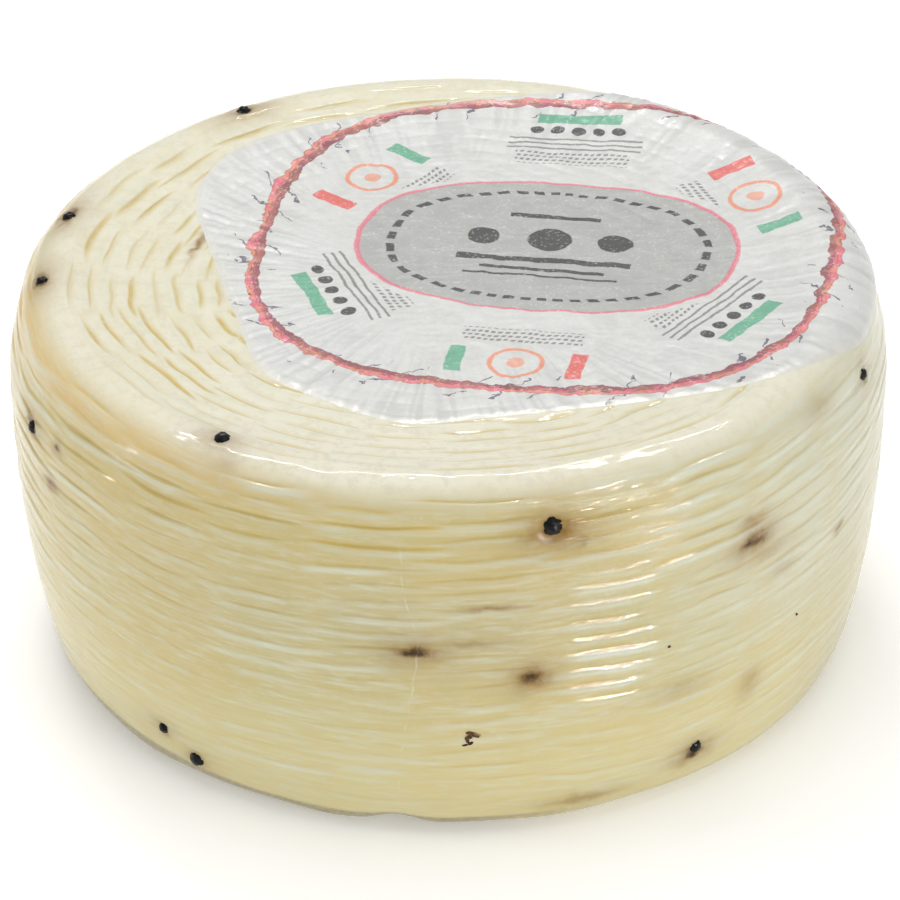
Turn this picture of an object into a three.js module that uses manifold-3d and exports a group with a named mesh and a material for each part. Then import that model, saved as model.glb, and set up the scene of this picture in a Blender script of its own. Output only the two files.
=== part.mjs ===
// A small whole wheel of sheep's-milk cheese set in a woven basket mould, with peppercorns
// in the paste and a paper label over its top. Millimetres, +Z up, the front faces -Y.
import * as THREE from 'three';
import { mergeVertices } from 'three/addons/utils/BufferGeometryUtils.js';
import Module from 'manifold-3d';

const wasm = await Module();
wasm.setup();

// Driving dimensions of the wheel.
const WHEEL_RADIUS = 85;          // at its widest line
const WHEEL_HEIGHT = 78;          // crest of the rim above the underside
const WIDEST_HEIGHT = 58.8;       // the wheel bulges most above its middle
const FOOT_RADIUS = 77.9;         // where the side would meet the underside
const SIDE_EXPONENT = 2.41;       // how late the side starts to draw in towards the foot
const FOOT_ROUNDING = 5.5;        // height of the rounded bottom corner
const SHOULDER_HEIGHT = 8.5;      // height of the rounded top corner
const SHOULDER_WIDTH = 9.8;       // width of the rounded top corner
const SHOULDER_EXPONENT = 2.1;    // 2 is an ellipse, more is squarer
const UPPER_DRAW_IN = 1.9;        // from the widest line up to the shoulder
const TOP_DISH = 3.2;             // the top's middle lies this far below the rim

// Basket marks: broken grooves in columns, each column half a pitch off its neighbours.
const COLUMNS = 24;
const FIRST_COLUMN_AZIMUTH = -167.5;  // where the first column begins, in degrees
const GROOVE_DEPTH = 0.75;
const SIDE_GROOVE_PITCH = 3.65;
const SIDE_GROOVES = 19;
const SIDE_GROOVES_FROM = 81;     // first side groove, from the top's centre over the rind
const TOP_GROOVE_PITCH = 4.1;
const TOP_GROOVES = 7;
const TOP_GROOVES_TO = 73;        // last top groove, measured the same way
const SHALLOWEST_GROOVE = 0.35;   // share of the full depth left in the faintest groove

// A dent in the bottom edge at the front.
const NOTCH_AZIMUTH = -98;
const NOTCH_WIDTH = 5;
const NOTCH_DEPTH = 1.6;

// Peppercorns that break the surface: [azimuth in degrees, way over the rind, radius].
const PEPPERCORNS = [
  [-77.0, 87.5, 2.1],
  [-124.1, 74.2, 1.7],
  [-127.4, 151.0, 1.8],
  [-132.6, 146.3, 1.3],
  [163.5, 77.5, 1.6],
  [-178.2, 78.5, 1.4],
  [122.7, 76.0, 1.7],
  [-19.3, 88.0, 1.5],
  [-55.2, 147.0, 1.5],
  [-158.5, 96.1, 1.5],
];
// More of them on the side that faces away, scattered by a seeded rule.
const BACK_PEPPERCORNS = 11;
const BACK_FROM_AZIMUTH = 8;
const BACK_TO_AZIMUTH = 168;
const BACK_FROM_WAY = 90;
const BACK_TO_WAY = 150;
const PEPPERCORN_PROUD = 0.4;     // share of the radius that stands out of the rind

// Label: its corners on the rind as (along +X, along +Y) when the rind is rolled out flat.
const LABEL_CORNERS = [
  [-27, 61], [-43.5, 51], [-51.2, 33], [-35.8, -35.5], [-9.5, -55], [12, -50.5],
  [62, -43.5], [81, -25], [86.5, 3], [78, 40], [42, 71], [5, 69.5],
];
const LABEL_CORNER_EASE = 9;      // rounding starts this far from each corner
const LABEL_GAP = 0.3;            // clear of the rind
const LABEL_THICKNESS = 0.45;
const LABEL_CENTRE = [18, 9];

// Fineness of the faceted surfaces.
const COLUMN_SEGMENTS = 3;
const SEGMENTS = COLUMN_SEGMENTS * COLUMNS;
const PROFILE_STEPS = 40;

const radians = THREE.MathUtils.degToRad;

// Repeatable pseudo-random value between 0 and 1 for a pair of whole numbers.
function scatter(a, b) {
  const wave = Math.sin(a * 12.9898 + b * 78.233) * 43758.5453;
  return wave - Math.floor(wave);
}

// The wheel's half section, from the top's centre over the rim and down to the underside.
function sectionPoints() {
  const points = [];
  const shoulderRadius = WHEEL_RADIUS - UPPER_DRAW_IN;
  const rimRadius = shoulderRadius - SHOULDER_WIDTH;
  const shoulderFoot = WHEEL_HEIGHT - SHOULDER_HEIGHT;
  for (let i = 0; i <= PROFILE_STEPS; i++) {
    const r = (rimRadius * i) / PROFILE_STEPS;
    points.push([r, WHEEL_HEIGHT - TOP_DISH * (1 - (r / rimRadius) ** 6)]);
  }
  for (let i = 1; i <= PROFILE_STEPS; i++) {
    const angle = (Math.PI / 2) * (1 - i / PROFILE_STEPS);
    const power = 2 / SHOULDER_EXPONENT;
    const out = Math.max(Math.cos(angle), 0) ** power;
    const up = Math.max(Math.sin(angle), 0) ** power;
    points.push([rimRadius + SHOULDER_WIDTH * out, shoulderFoot + SHOULDER_HEIGHT * up]);
  }
  for (let i = 1; i <= PROFILE_STEPS; i++) {
    const share = 1 - i / PROFILE_STEPS;
    const z = WIDEST_HEIGHT + (shoulderFoot - WIDEST_HEIGHT) * share;
    points.push([WHEEL_RADIUS - UPPER_DRAW_IN * share ** 2, z]);
  }
  for (let i = 1; i <= PROFILE_STEPS; i++) {
    const z = WIDEST_HEIGHT + (FOOT_ROUNDING - WIDEST_HEIGHT) * (i / PROFILE_STEPS);
    points.push([sideRadius(z), z]);
  }
  // The bottom corner bends from the side's slope to the level underside.
  const lean = (sideRadius(FOOT_ROUNDING) - sideRadius(0)) / FOOT_ROUNDING;
  const start = points[points.length - 1];
  const corner = [start[0] - lean * FOOT_ROUNDING, 0];
  const end = [corner[0] - FOOT_ROUNDING, 0];
  for (let i = 1; i <= PROFILE_STEPS; i++) {
    const t = i / PROFILE_STEPS;
    const mix = (k) => (1 - t) ** 2 * start[k] + 2 * t * (1 - t) * corner[k] + t ** 2 * end[k];
    points.push([mix(0), mix(1)]);
  }
  points.push([0, 0]);
  return points;
}

function sideRadius(z) {
  const below = (WIDEST_HEIGHT - z) / WIDEST_HEIGHT;
  return WHEEL_RADIUS - (WHEEL_RADIUS - FOOT_RADIUS) * below ** SIDE_EXPONENT;
}

const SECTION = sectionPoints();
const WAYS = SECTION.reduce((ways, point, i) => {
  const before = SECTION[Math.max(i - 1, 0)];
  const step = Math.hypot(point[0] - before[0], point[1] - before[1]);
  ways.push((i ? ways[i - 1] : 0) + step);
  return ways;
}, []);
const FOOT_WAY = WAYS[WAYS.length - 2];

// Point and outward normal of the section at a way over the rind from the top's centre.
function onSection(way) {
  let i = WAYS.findIndex((value) => value >= way);
  i = Math.min(Math.max(i, 1), WAYS.length - 1);
  const share = (way - WAYS[i - 1]) / (WAYS[i] - WAYS[i - 1]);
  const [a, b] = [SECTION[i - 1], SECTION[i]];
  const length = Math.hypot(b[0] - a[0], b[1] - a[1]);
  return {
    r: a[0] + (b[0] - a[0]) * share,
    z: a[1] + (b[1] - a[1]) * share,
    outR: -(b[1] - a[1]) / length,
    outZ: (b[0] - a[0]) / length,
  };
}

// Point on the rind, moved out along its normal.
function onRind(azimuth, way, out = 0) {
  const at = onSection(way);
  const r = at.r + at.outR * out;
  return [r * Math.cos(azimuth), r * Math.sin(azimuth), at.z + at.outZ * out];
}

// Every row of the wheel's surface: its way over the rind and, on grooved stretches, the
// number of its half pitch.
function surfaceRows() {
  const rows = [];
  const topFrom = TOP_GROOVES_TO - (TOP_GROOVES - 0.5) * TOP_GROOVE_PITCH;
  rows.push({ way: topFrom * 0.5 });
  for (let i = 0; i < 2 * TOP_GROOVES; i++) {
    rows.push({ way: topFrom + (i * TOP_GROOVE_PITCH) / 2, half: i });
  }
  const bandRows = 2;
  for (let i = 1; i <= bandRows; i++) {
    const share = i / (bandRows + 1);
    rows.push({ way: TOP_GROOVES_TO + (SIDE_GROOVES_FROM - TOP_GROOVES_TO) * share });
  }
  for (let i = 0; i < 2 * SIDE_GROOVES; i++) {
    rows.push({ way: SIDE_GROOVES_FROM + (i * SIDE_GROOVE_PITCH) / 2, half: i + 1 });
  }
  const lastGroove = rows[rows.length - 1].way;
  const footRows = 4;
  for (let i = 1; i <= footRows; i++) {
    rows.push({ way: lastGroove + ((FOOT_WAY - lastGroove) * i) / footRows });
  }
  return rows;
}

// Depth of the basket marks at a grid vertex: full inside a column, none between columns.
function markDepth(segment, half) {
  const column = Math.floor(segment / COLUMN_SEGMENTS);
  const inColumn = segment % COLUMN_SEGMENTS > 0;
  const grooved = inColumn && (half + column) % 2 === 0;
  const strength = SHALLOWEST_GROOVE + (1 - SHALLOWEST_GROOVE) * scatter(column, half);
  return grooved ? GROOVE_DEPTH * strength : 0;
}

// Inward reach of the dent in the bottom edge.
function notchDepth(azimuth, z) {
  const along = (azimuth - radians(NOTCH_AZIMUTH)) * FOOT_RADIUS;
  const fade = Math.max(0, 1 - z / FOOT_ROUNDING);
  return NOTCH_DEPTH * fade * Math.exp(-((along / NOTCH_WIDTH) ** 2));
}

function segmentAzimuth(segment) {
  return radians(FIRST_COLUMN_AZIMUTH) + (2 * Math.PI * segment) / SEGMENTS;
}

// Closed surface of revolution with a fan at each end; vertexAt gives each grid vertex.
function closedGrid(rowCount, vertexAt, topCentre, bottomCentre) {
  const positions = [...topCentre];
  for (let row = 0; row < rowCount; row++) {
    for (let segment = 0; segment < SEGMENTS; segment++) {
      positions.push(...vertexAt(row, segment));
    }
  }
  positions.push(...bottomCentre);
  const last = rowCount * SEGMENTS + 1;
  const index = (row, segment) => 1 + row * SEGMENTS + (segment % SEGMENTS);
  const faces = [];
  for (let segment = 0; segment < SEGMENTS; segment++) {
    faces.push(0, index(0, segment), index(0, segment + 1));
    for (let row = 0; row < rowCount - 1; row++) {
      const [a, b] = [index(row, segment), index(row, segment + 1)];
      const [c, d] = [index(row + 1, segment), index(row + 1, segment + 1)];
      faces.push(a, c, b, b, c, d);
    }
    faces.push(last, index(rowCount - 1, segment + 1), index(rowCount - 1, segment));
  }
  const geometry = new THREE.BufferGeometry();
  geometry.setAttribute('position', new THREE.Float32BufferAttribute(positions, 3));
  geometry.setIndex(faces);
  return geometry;
}

function toSolid(geometry) {
  const bare = geometry.clone();
  bare.deleteAttribute('normal');
  bare.deleteAttribute('uv');
  const merged = mergeVertices(bare, 1e-4);
  return new wasm.Manifold(new wasm.Mesh({
    numProp: 3,
    vertProperties: new Float32Array(merged.attributes.position.array),
    triVerts: new Uint32Array(merged.index.array),
  }));
}

function toGeometry(solid) {
  const mesh = solid.getMesh();
  const geometry = new THREE.BufferGeometry();
  geometry.setAttribute('position', new THREE.BufferAttribute(mesh.vertProperties, 3));
  geometry.setIndex(new THREE.BufferAttribute(mesh.triVerts, 1));
  geometry.computeVertexNormals();
  return geometry;
}

// The wheel's body with its basket marks and the dent in its bottom edge.
function wheelBody() {
  const rows = surfaceRows();
  const vertexAt = (row, segment) => {
    const azimuth = segmentAzimuth(segment);
    const { way, half } = rows[row];
    const depth = half === undefined ? 0 : markDepth(segment, half);
    const [x, y, z] = onRind(azimuth, way, -depth);
    const shrink = 1 - notchDepth(azimuth, z) / FOOT_RADIUS;
    return [x * shrink, y * shrink, z];
  };
  return closedGrid(rows.length, vertexAt, [0, 0, WHEEL_HEIGHT - TOP_DISH], [0, 0, 0]);
}

// A peppercorn half sunk in the rind.
function peppercorn(azimuth, way, radius) {
  const bead = new THREE.SphereGeometry(radius, 6, 4);
  const sunk = radius * (PEPPERCORN_PROUD - 1);
  bead.translate(...onRind(radians(azimuth), way, sunk));
  return bead;
}

function allPeppercorns() {
  const places = [...PEPPERCORNS];
  for (let i = 0; i < BACK_PEPPERCORNS; i++) {
    const share = (i + scatter(i, 3)) / BACK_PEPPERCORNS;
    const azimuth = BACK_FROM_AZIMUTH + (BACK_TO_AZIMUTH - BACK_FROM_AZIMUTH) * share;
    const way = BACK_FROM_WAY + (BACK_TO_WAY - BACK_FROM_WAY) * scatter(i, 9);
    places.push([azimuth, way, 1.4 + 0.6 * scatter(i, 11)]);
  }
  return places;
}

function wheelGeometry() {
  let wheel = toSolid(wheelBody());
  for (const place of allPeppercorns()) {
    wheel = wheel.add(toSolid(peppercorn(...place)));
  }
  return toGeometry(wheel);
}

// The label's outline as points on the rolled-out rind, its corners rounded.
function labelOutline() {
  const shape = new THREE.Shape();
  const corners = LABEL_CORNERS.map(([x, y]) => new THREE.Vector2(x, y));
  const towards = (from, to) => {
    const reach = Math.min(LABEL_CORNER_EASE, from.distanceTo(to) / 2);
    return to.clone().sub(from).setLength(reach).add(from);
  };
  corners.forEach((corner, i) => {
    const before = corners[(i + corners.length - 1) % corners.length];
    const after = corners[(i + 1) % corners.length];
    const start = towards(corner, before);
    const end = towards(corner, after);
    if (i === 0) shape.moveTo(start.x, start.y);
    else shape.lineTo(start.x, start.y);
    shape.quadraticCurveTo(corner.x, corner.y, end.x, end.y);
  });
  shape.closePath();
  return shape.getSpacedPoints(72).slice(0, -1);
}

// Solid bounded by the rind's smooth envelope, moved out, down to a level below the label.
function envelope(out, floorWay) {
  const ways = [18, 36, 48, 56, 62, 67, 71, 74, 77, 80, 83, 86, 90, floorWay];
  const vertexAt = (row, segment) => {
    return onRind(segmentAzimuth(segment), ways[row], out);
  };
  const floor = onSection(floorWay).z + onSection(floorWay).outZ * out;
  return closedGrid(ways.length, vertexAt, [0, 0, WHEEL_HEIGHT - TOP_DISH + out], [0, 0, floor]);
}

// Closed drum through the rind along its normals, with the label's outline as its edge.
function labelCutter() {
  const outline = labelOutline();
  const [depth, reach] = [-3, 5];
  const [below, above] = [40, 190];
  const ring = (out) => outline.map((point) => {
    return onRind(Math.atan2(point.y, point.x), Math.hypot(point.x, point.y), out);
  });
  const positions = [...ring(reach), ...ring(depth)].flat();
  positions.push(...LABEL_CENTRE, above, ...LABEL_CENTRE, below);
  const count = outline.length;
  const faces = [];
  for (let i = 0; i < count; i++) {
    const next = (i + 1) % count;
    faces.push(i, next, 2 * count);
    faces.push(count + next, count + i, 2 * count + 1);
    faces.push(i, count + i, next, next, count + i, count + next);
  }
  const geometry = new THREE.BufferGeometry();
  geometry.setAttribute('position', new THREE.Float32BufferAttribute(positions, 3));
  geometry.setIndex(faces);
  return geometry;
}

function labelGeometry() {
  const outer = toSolid(envelope(LABEL_GAP + LABEL_THICKNESS, 96));
  const inner = toSolid(envelope(LABEL_GAP, 104));
  return toGeometry(outer.subtract(inner).intersect(toSolid(labelCutter())));
}

const rindMaterial = new THREE.MeshStandardMaterial({ color: 0xe0d4a4, roughness: 0.32, metalness: 0 });
rindMaterial.name = 'rind';
const labelMaterial = new THREE.MeshStandardMaterial({ color: 0xe6e4df, roughness: 0.5, metalness: 0 });
labelMaterial.name = 'label';

const wheel = new THREE.Mesh(wheelGeometry(), rindMaterial);
wheel.name = 'wheel';
const label = new THREE.Mesh(labelGeometry(), labelMaterial);
label.name = 'label';

// The origin is the middle of the underside, on the wheel's own axis.
const group = new THREE.Group();
group.name = 'cheese_wheel';
group.add(wheel, label);

export default group;
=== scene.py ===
"""A small whole wheel of sheep's-milk cheese from a basket mould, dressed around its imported
frame. Sizes are in millimetres and become metres where a mesh or a lamp is made."""
import math

import bpy
import numpy as np
from mathutils import Matrix, Vector


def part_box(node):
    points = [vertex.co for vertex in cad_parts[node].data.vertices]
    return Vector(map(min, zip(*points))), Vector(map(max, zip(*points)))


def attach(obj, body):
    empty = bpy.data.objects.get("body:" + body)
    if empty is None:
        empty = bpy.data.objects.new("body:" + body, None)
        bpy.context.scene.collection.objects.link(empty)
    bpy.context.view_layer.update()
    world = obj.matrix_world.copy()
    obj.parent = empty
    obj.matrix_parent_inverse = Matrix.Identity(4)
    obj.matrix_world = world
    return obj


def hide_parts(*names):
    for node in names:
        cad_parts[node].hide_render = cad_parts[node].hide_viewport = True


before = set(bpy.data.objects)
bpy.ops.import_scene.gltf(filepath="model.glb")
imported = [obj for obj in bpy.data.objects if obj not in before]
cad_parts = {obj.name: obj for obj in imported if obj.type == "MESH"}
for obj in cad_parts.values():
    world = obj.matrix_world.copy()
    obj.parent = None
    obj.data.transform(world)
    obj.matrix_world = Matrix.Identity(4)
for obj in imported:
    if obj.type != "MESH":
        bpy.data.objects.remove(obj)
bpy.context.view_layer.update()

MM = 0.001
scene = bpy.context.scene

# ---- sizes
WHEEL_LOW, WHEEL_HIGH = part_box("wheel")
WHEEL_RADIUS = (WHEEL_HIGH.x - WHEEL_LOW.x) / 2 / MM
WHEEL_HEIGHT = 78.0
WIDEST_HEIGHT = 58.8
FOOT_RADIUS = 77.9
SIDE_EXPONENT = 2.41
FOOT_ROUNDING = 5.5
SHOULDER_HEIGHT = 8.5
SHOULDER_WIDTH = 9.8
SHOULDER_EXPONENT = 2.1
UPPER_DRAW_IN = 1.9
TOP_DISH = 3.2

# Basket marks: broken grooves in columns, each column half a pitch off its neighbours.
COLUMNS = 24
COLUMN_WIDTH = 360 / COLUMNS
FIRST_COLUMN_AZIMUTH = -167.5
SIDE_GROOVE_PITCH = 3.65
SIDE_GROOVES_FROM = 81.0
TOP_GROOVE_PITCH = 4.1
TOP_GROOVES_TO = 73.0
BAND_FROM, BAND_TO = 75.0, 80.5  # the smooth band round the shoulder
LIP_WAY = 76.0  # the soft lip at the top of the shoulder
CRISP_COLUMN = -69.0  # azimuths of the columns with the sharpest ridges
SECOND_COLUMN = -132.0
STRAND_RADIUS = 85.0  # of the drum on which strands of colour are drawn

NOTCH_AZIMUTH = -98.0
NOTCH_WIDTH = 5.0
NOTCH_DEPTH = 1.6

# Peppercorns that break the surface: azimuth in degrees, way over the rind, radius.
PEPPERCORNS = [
    (-77, 87.5, 2.1), (-124.1, 74.2, 1.7),
    (-127.4, 151, 1.8), (-132.6, 146.3, 1.3),
    (163.5, 77.5, 1.6), (-178.2, 78.5, 1.4),
    (122.7, 76, 1.7), (-19.3, 88, 1.5),
    (-55.2, 147, 1.5), (-158.5, 96.1, 1.5),
]
BACK_PEPPERCORNS = 11  # on the side that faces away
BACK_AZIMUTHS = (8, 168)
BACK_WAYS = (90, 150)
BACK_RADII = (1.4, 2.0)
PEPPERCORN_PROUD = 0.4  # share of the radius that stands out

# Corners of the label on the rind rolled out flat: along +X and along +Y.
LABEL_CORNERS = [
    (-27, 61), (-43.5, 51), (-51.2, 33), (-35.8, -35.5), (-9.5, -55), (12, -50.5),
    (62, -43.5), (81, -25), (86.5, 3), (78, 40), (42, 71), (5, 69.5),
]
LABEL_CORNER_EASE = 9.0
LABEL_CENTRE = (18.0, 9.0)
PAPER_TOP = 0.3  # above the smooth rind
PAPER_UNDER = 0.06

# Densities of the meshes.
RING_POINTS = 600  # round the rind
ROW_STEP = 0.2  # between the rind's finest rows
BALL_RINGS, BALL_SEGMENTS = 20, 34
LABEL_SPOKES, LABEL_RINGS = 700, 130
LABEL_THINNING = 10  # the paper's underside has one ring in so many


# ---- camera
CAMERA_ELEVATION = math.radians(32.066)
CAMERA_DISTANCE = 1100.0
CAMERA_TARGET = Vector((0.156, 0.0, 36.134))
CAMERA_ROLL = -0.0092
CAMERA_LENS = 224.49
SENSOR_WIDTH = 36.0


def make_camera():
    back = Vector((0, -math.cos(CAMERA_ELEVATION), math.sin(CAMERA_ELEVATION)))
    right = Vector((1, 0, 0))
    level = Matrix((right, back.cross(right), back)).transposed()
    turn = level @ Matrix.Rotation(CAMERA_ROLL, 3, "Z")
    data = bpy.data.cameras.new("camera")
    data.lens = CAMERA_LENS
    data.sensor_width = SENSOR_WIDTH
    data.sensor_fit = "HORIZONTAL"
    data.clip_end = 20
    camera = bpy.data.objects.new("camera", data)
    place = (CAMERA_TARGET + back * CAMERA_DISTANCE) * MM
    camera.matrix_world = Matrix.Translation(place) @ turn.to_4x4()
    scene.collection.objects.link(camera)
    scene.camera = camera


# ---- noise
def hashed(ix, iy, seed):
    """A repeatable value between 0 and 1 for each cell."""
    wave = np.sin(ix * 127.1 + iy * 311.7 + seed * 74.7) * 43758.5453
    return wave - np.floor(wave)


def scatter(a, b):
    """The rule by which the part's source spreads what the photograph doesn't show."""
    wave = np.sin(a * 12.9898 + b * 78.233) * 43758.5453
    return wave - np.floor(wave)


def between(low, high, share):
    return low + (high - low) * share


def smooth(low, high, x):
    """0 at low, 1 at high, smooth between and level beyond; low may be the larger one."""
    t = np.clip((x - low) / (high - low), 0, 1)
    return t * t * (3 - 2 * t)


def noise(x, y, seed, wrap=None):
    """Smooth noise between -1 and 1; it repeats along x after wrap cells."""
    x0, y0 = np.floor(x), np.floor(y)
    fx, fy = x - x0, y - y0
    fx, fy = fx * fx * (3 - 2 * fx), fy * fy * (3 - 2 * fy)
    x1 = x0 + 1
    if wrap:
        x0, x1 = np.mod(x0, wrap), np.mod(x1, wrap)
    low = hashed(x0, y0, seed) * (1 - fx) + hashed(x1, y0, seed) * fx
    high = hashed(x0, y0 + 1, seed) * (1 - fx) + hashed(x1, y0 + 1, seed) * fx
    return 2 * (low * (1 - fy) + high * fy) - 1


def rind_noise(azimuth, way, cells, length, seed):
    """Noise on the rind: cells of it round the wheel, each of a length down the way."""
    return noise(azimuth / 360 * cells, way / length, seed, cells)


def hill(x, middle, width, power=2):
    """1 at the middle, fading out over the width; a high power makes its top flat."""
    return np.exp(-((x - middle) / width) ** power)


def turn_gap(azimuth, middle):
    """Degrees from middle, the short way round."""
    return (azimuth - middle + 180) % 360 - 180


def near(azimuth, middle, width, power=2):
    """A hill over degrees round the wheel."""
    return hill(turn_gap(azimuth, middle), 0, width, power)


def eased(start, corner, end, t):
    """Points on the curve that rounds a corner off, for t from 0 to 1."""
    return (1 - t) ** 2 * start + 2 * t * (1 - t) * corner + t ** 2 * end


# ---- the wheel's section
def side_radius(z):
    """The side's radius, up to its widest height."""
    below = (WIDEST_HEIGHT - z) / WIDEST_HEIGHT
    return WHEEL_RADIUS - (WHEEL_RADIUS - FOOT_RADIUS) * below ** SIDE_EXPONENT


def section_points(steps=160):
    """Half section from the top's centre over the rim and down to the underside."""
    rim_radius = WHEEL_RADIUS - UPPER_DRAW_IN - SHOULDER_WIDTH
    shoulder_foot = WHEEL_HEIGHT - SHOULDER_HEIGHT
    t = np.linspace(0, 1, steps + 1)
    pairs = [(rim_radius * t, WHEEL_HEIGHT - TOP_DISH * (1 - t ** 6))]
    t = t[1:]
    angle = np.pi / 2 * (1 - t)
    power = 2 / SHOULDER_EXPONENT
    out = np.clip(np.cos(angle), 0, 1) ** power
    up = np.clip(np.sin(angle), 0, 1) ** power
    pairs.append((rim_radius + SHOULDER_WIDTH * out, shoulder_foot + SHOULDER_HEIGHT * up))
    pairs.append((WHEEL_RADIUS - UPPER_DRAW_IN * (1 - t) ** 2,
                  WIDEST_HEIGHT + (shoulder_foot - WIDEST_HEIGHT) * (1 - t)))
    z = WIDEST_HEIGHT + (FOOT_ROUNDING - WIDEST_HEIGHT) * t
    pairs.append((side_radius(z), z))
    pieces = [np.stack(pair, 1) for pair in pairs]
    start = pieces[-1][-1]
    corner = np.array([side_radius(0), 0])
    end = corner - (FOOT_ROUNDING, 0)
    pieces.append(eased(start, corner, end, t[:, None]))
    return np.concatenate([*pieces, [(0, 0)]])


SECTION = section_points()
STEPS = np.hypot(*np.diff(SECTION, axis=0).T)
WAYS = np.concatenate([[0], np.cumsum(STEPS)])
FOOT_WAY = WAYS[-2]
END_WAY = WAYS[-1]
SLOPE = np.gradient(SECTION, WAYS, axis=0)


def on_rind(azimuth, way, out=0.0):
    """Points on the smooth rind, moved out along its normal. Azimuth is in radians."""
    r = np.interp(way, WAYS, SECTION[:, 0])
    z = np.interp(way, WAYS, SECTION[:, 1])
    along_r = np.interp(way, WAYS, SLOPE[:, 0])
    along_z = np.interp(way, WAYS, SLOPE[:, 1])
    size = np.hypot(along_r, along_z)
    r = r - along_z / size * out
    z = z + along_r / size * out
    return np.stack([r * np.cos(azimuth), r * np.sin(azimuth), z], -1)


def all_peppercorns():
    """Those that the photograph shows, and seeded ones on the side that faces away."""
    places = list(PEPPERCORNS)
    for i in range(BACK_PEPPERCORNS):
        azimuth = between(*BACK_AZIMUTHS, (i + scatter(i, 3)) / BACK_PEPPERCORNS)
        way = between(*BACK_WAYS, scatter(i, 9))
        places.append((azimuth, way, between(*BACK_RADII, scatter(i, 11))))
    return places


# ---- basket marks
def bent(azimuth, way):
    """The woven pattern wavers: its place on the rind, pushed about by soft noise."""
    slow = 0.75 * rind_noise(azimuth, way, 22, 13, 61.0)
    way = way + slow + 0.3 * rind_noise(azimuth, way, 58, 6, 62.0)
    return azimuth + 1.1 * rind_noise(azimuth, way, 30, 7, 63.0), way


def drawn(number, row, zone, low, high):
    """A repeatable value between low and high for one reed print."""
    return between(low, high, hashed(number, row, zone))


def reed_prints(azimuth, way, start, pitch, zone):
    """Prints of the woven reeds, four fields from 0 to 1: the thin crease in the paste, the
    hollow above it, the pale roll below it and the thin brim on the roll's upper edge."""
    along = (azimuth - FIRST_COLUMN_AZIMUTH) / COLUMN_WIDTH
    column = np.floor(along)
    marks = [np.zeros_like(way)] * 4
    for neighbour in (-1, 0, 1):
        number = np.mod(column + neighbour, COLUMNS)
        u = along - column - neighbour
        slant = drawn(number, 2, zone, -0.3, 0.3)
        phase = (way - start) / pitch + 0.5 * np.mod(number + 1, 2) + slant * (u - 0.5)
        for side in (0, 1):
            row = np.floor(phase) + side
            across = phase - row - drawn(number, row, zone + 4, -0.12, 0.12)
            across -= drawn(number, row, zone + 3, -0.45, 0.45) * (u - 0.5) ** 2
            swing = drawn(number, row, zone + 12, 4, 11) * u + 40 * hashed(number, row, zone)
            across += 0.035 * np.sin(swing)
            first = -0.3 + 0.55 * hashed(number, row, zone + 5) ** 2
            last = 1.3 - 0.55 * hashed(number, row, zone + 6) ** 2
            reach = smooth(first, first + 0.35, u) * smooth(last, last - 0.35, u)
            strength = drawn(number, row, zone + 7, 0.25, 1.0)
            width = drawn(number, row, zone + 8, 0.06, 0.15)
            line = strength * reach * hill(across, 0, width)
            lens = smooth(-0.1, 0.5, u) * smooth(1.1, 0.5, u)
            dip = strength * lens * smooth(-0.38, -0.04, across) * smooth(0.08, 0, across)
            lift = drawn(number, row, zone + 9, 0.1, 1.0) ** 1.5 * reach
            lift *= np.exp(-np.abs((across - 0.3) / 0.19) ** 2.4)
            ledge = (0.6 + 0.4 * strength) * reach * hill(across, 0.14, 0.07)
            marks = [np.maximum(*pair) for pair in zip(marks, (line, dip, lift, ledge))]
    return marks


def ridge_field(azimuth, way, start, pitch):
    """Low swell of the paste between grooves, 0 on its crests and 1 along the grooves."""
    along = (azimuth - FIRST_COLUMN_AZIMUTH) / COLUMN_WIDTH
    column = np.floor(along)
    u = along - column
    phase = (way - start) / pitch + 0.5 * np.mod(column + 1, 2)
    swing = np.sin(np.pi * u) ** 0.8
    return 0.5 + 0.5 * swing * np.cos(2 * np.pi * phase)


def rib_field(azimuth):
    """1 on the plain upright strip between two columns of grooves."""
    along = (azimuth - FIRST_COLUMN_AZIMUTH) / COLUMN_WIDTH
    gap = np.abs(along - np.round(along)) * COLUMN_WIDTH
    return hill(gap, 0, 1.9)


def streak_field(azimuth, way):
    """Fine strands that lie along the rows."""
    long_ones = rind_noise(azimuth, way, 60, 1.25, 70.0)
    return 0.6 * long_ones + 0.4 * rind_noise(azimuth, way, 150, 0.85, 71.0)


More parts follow.
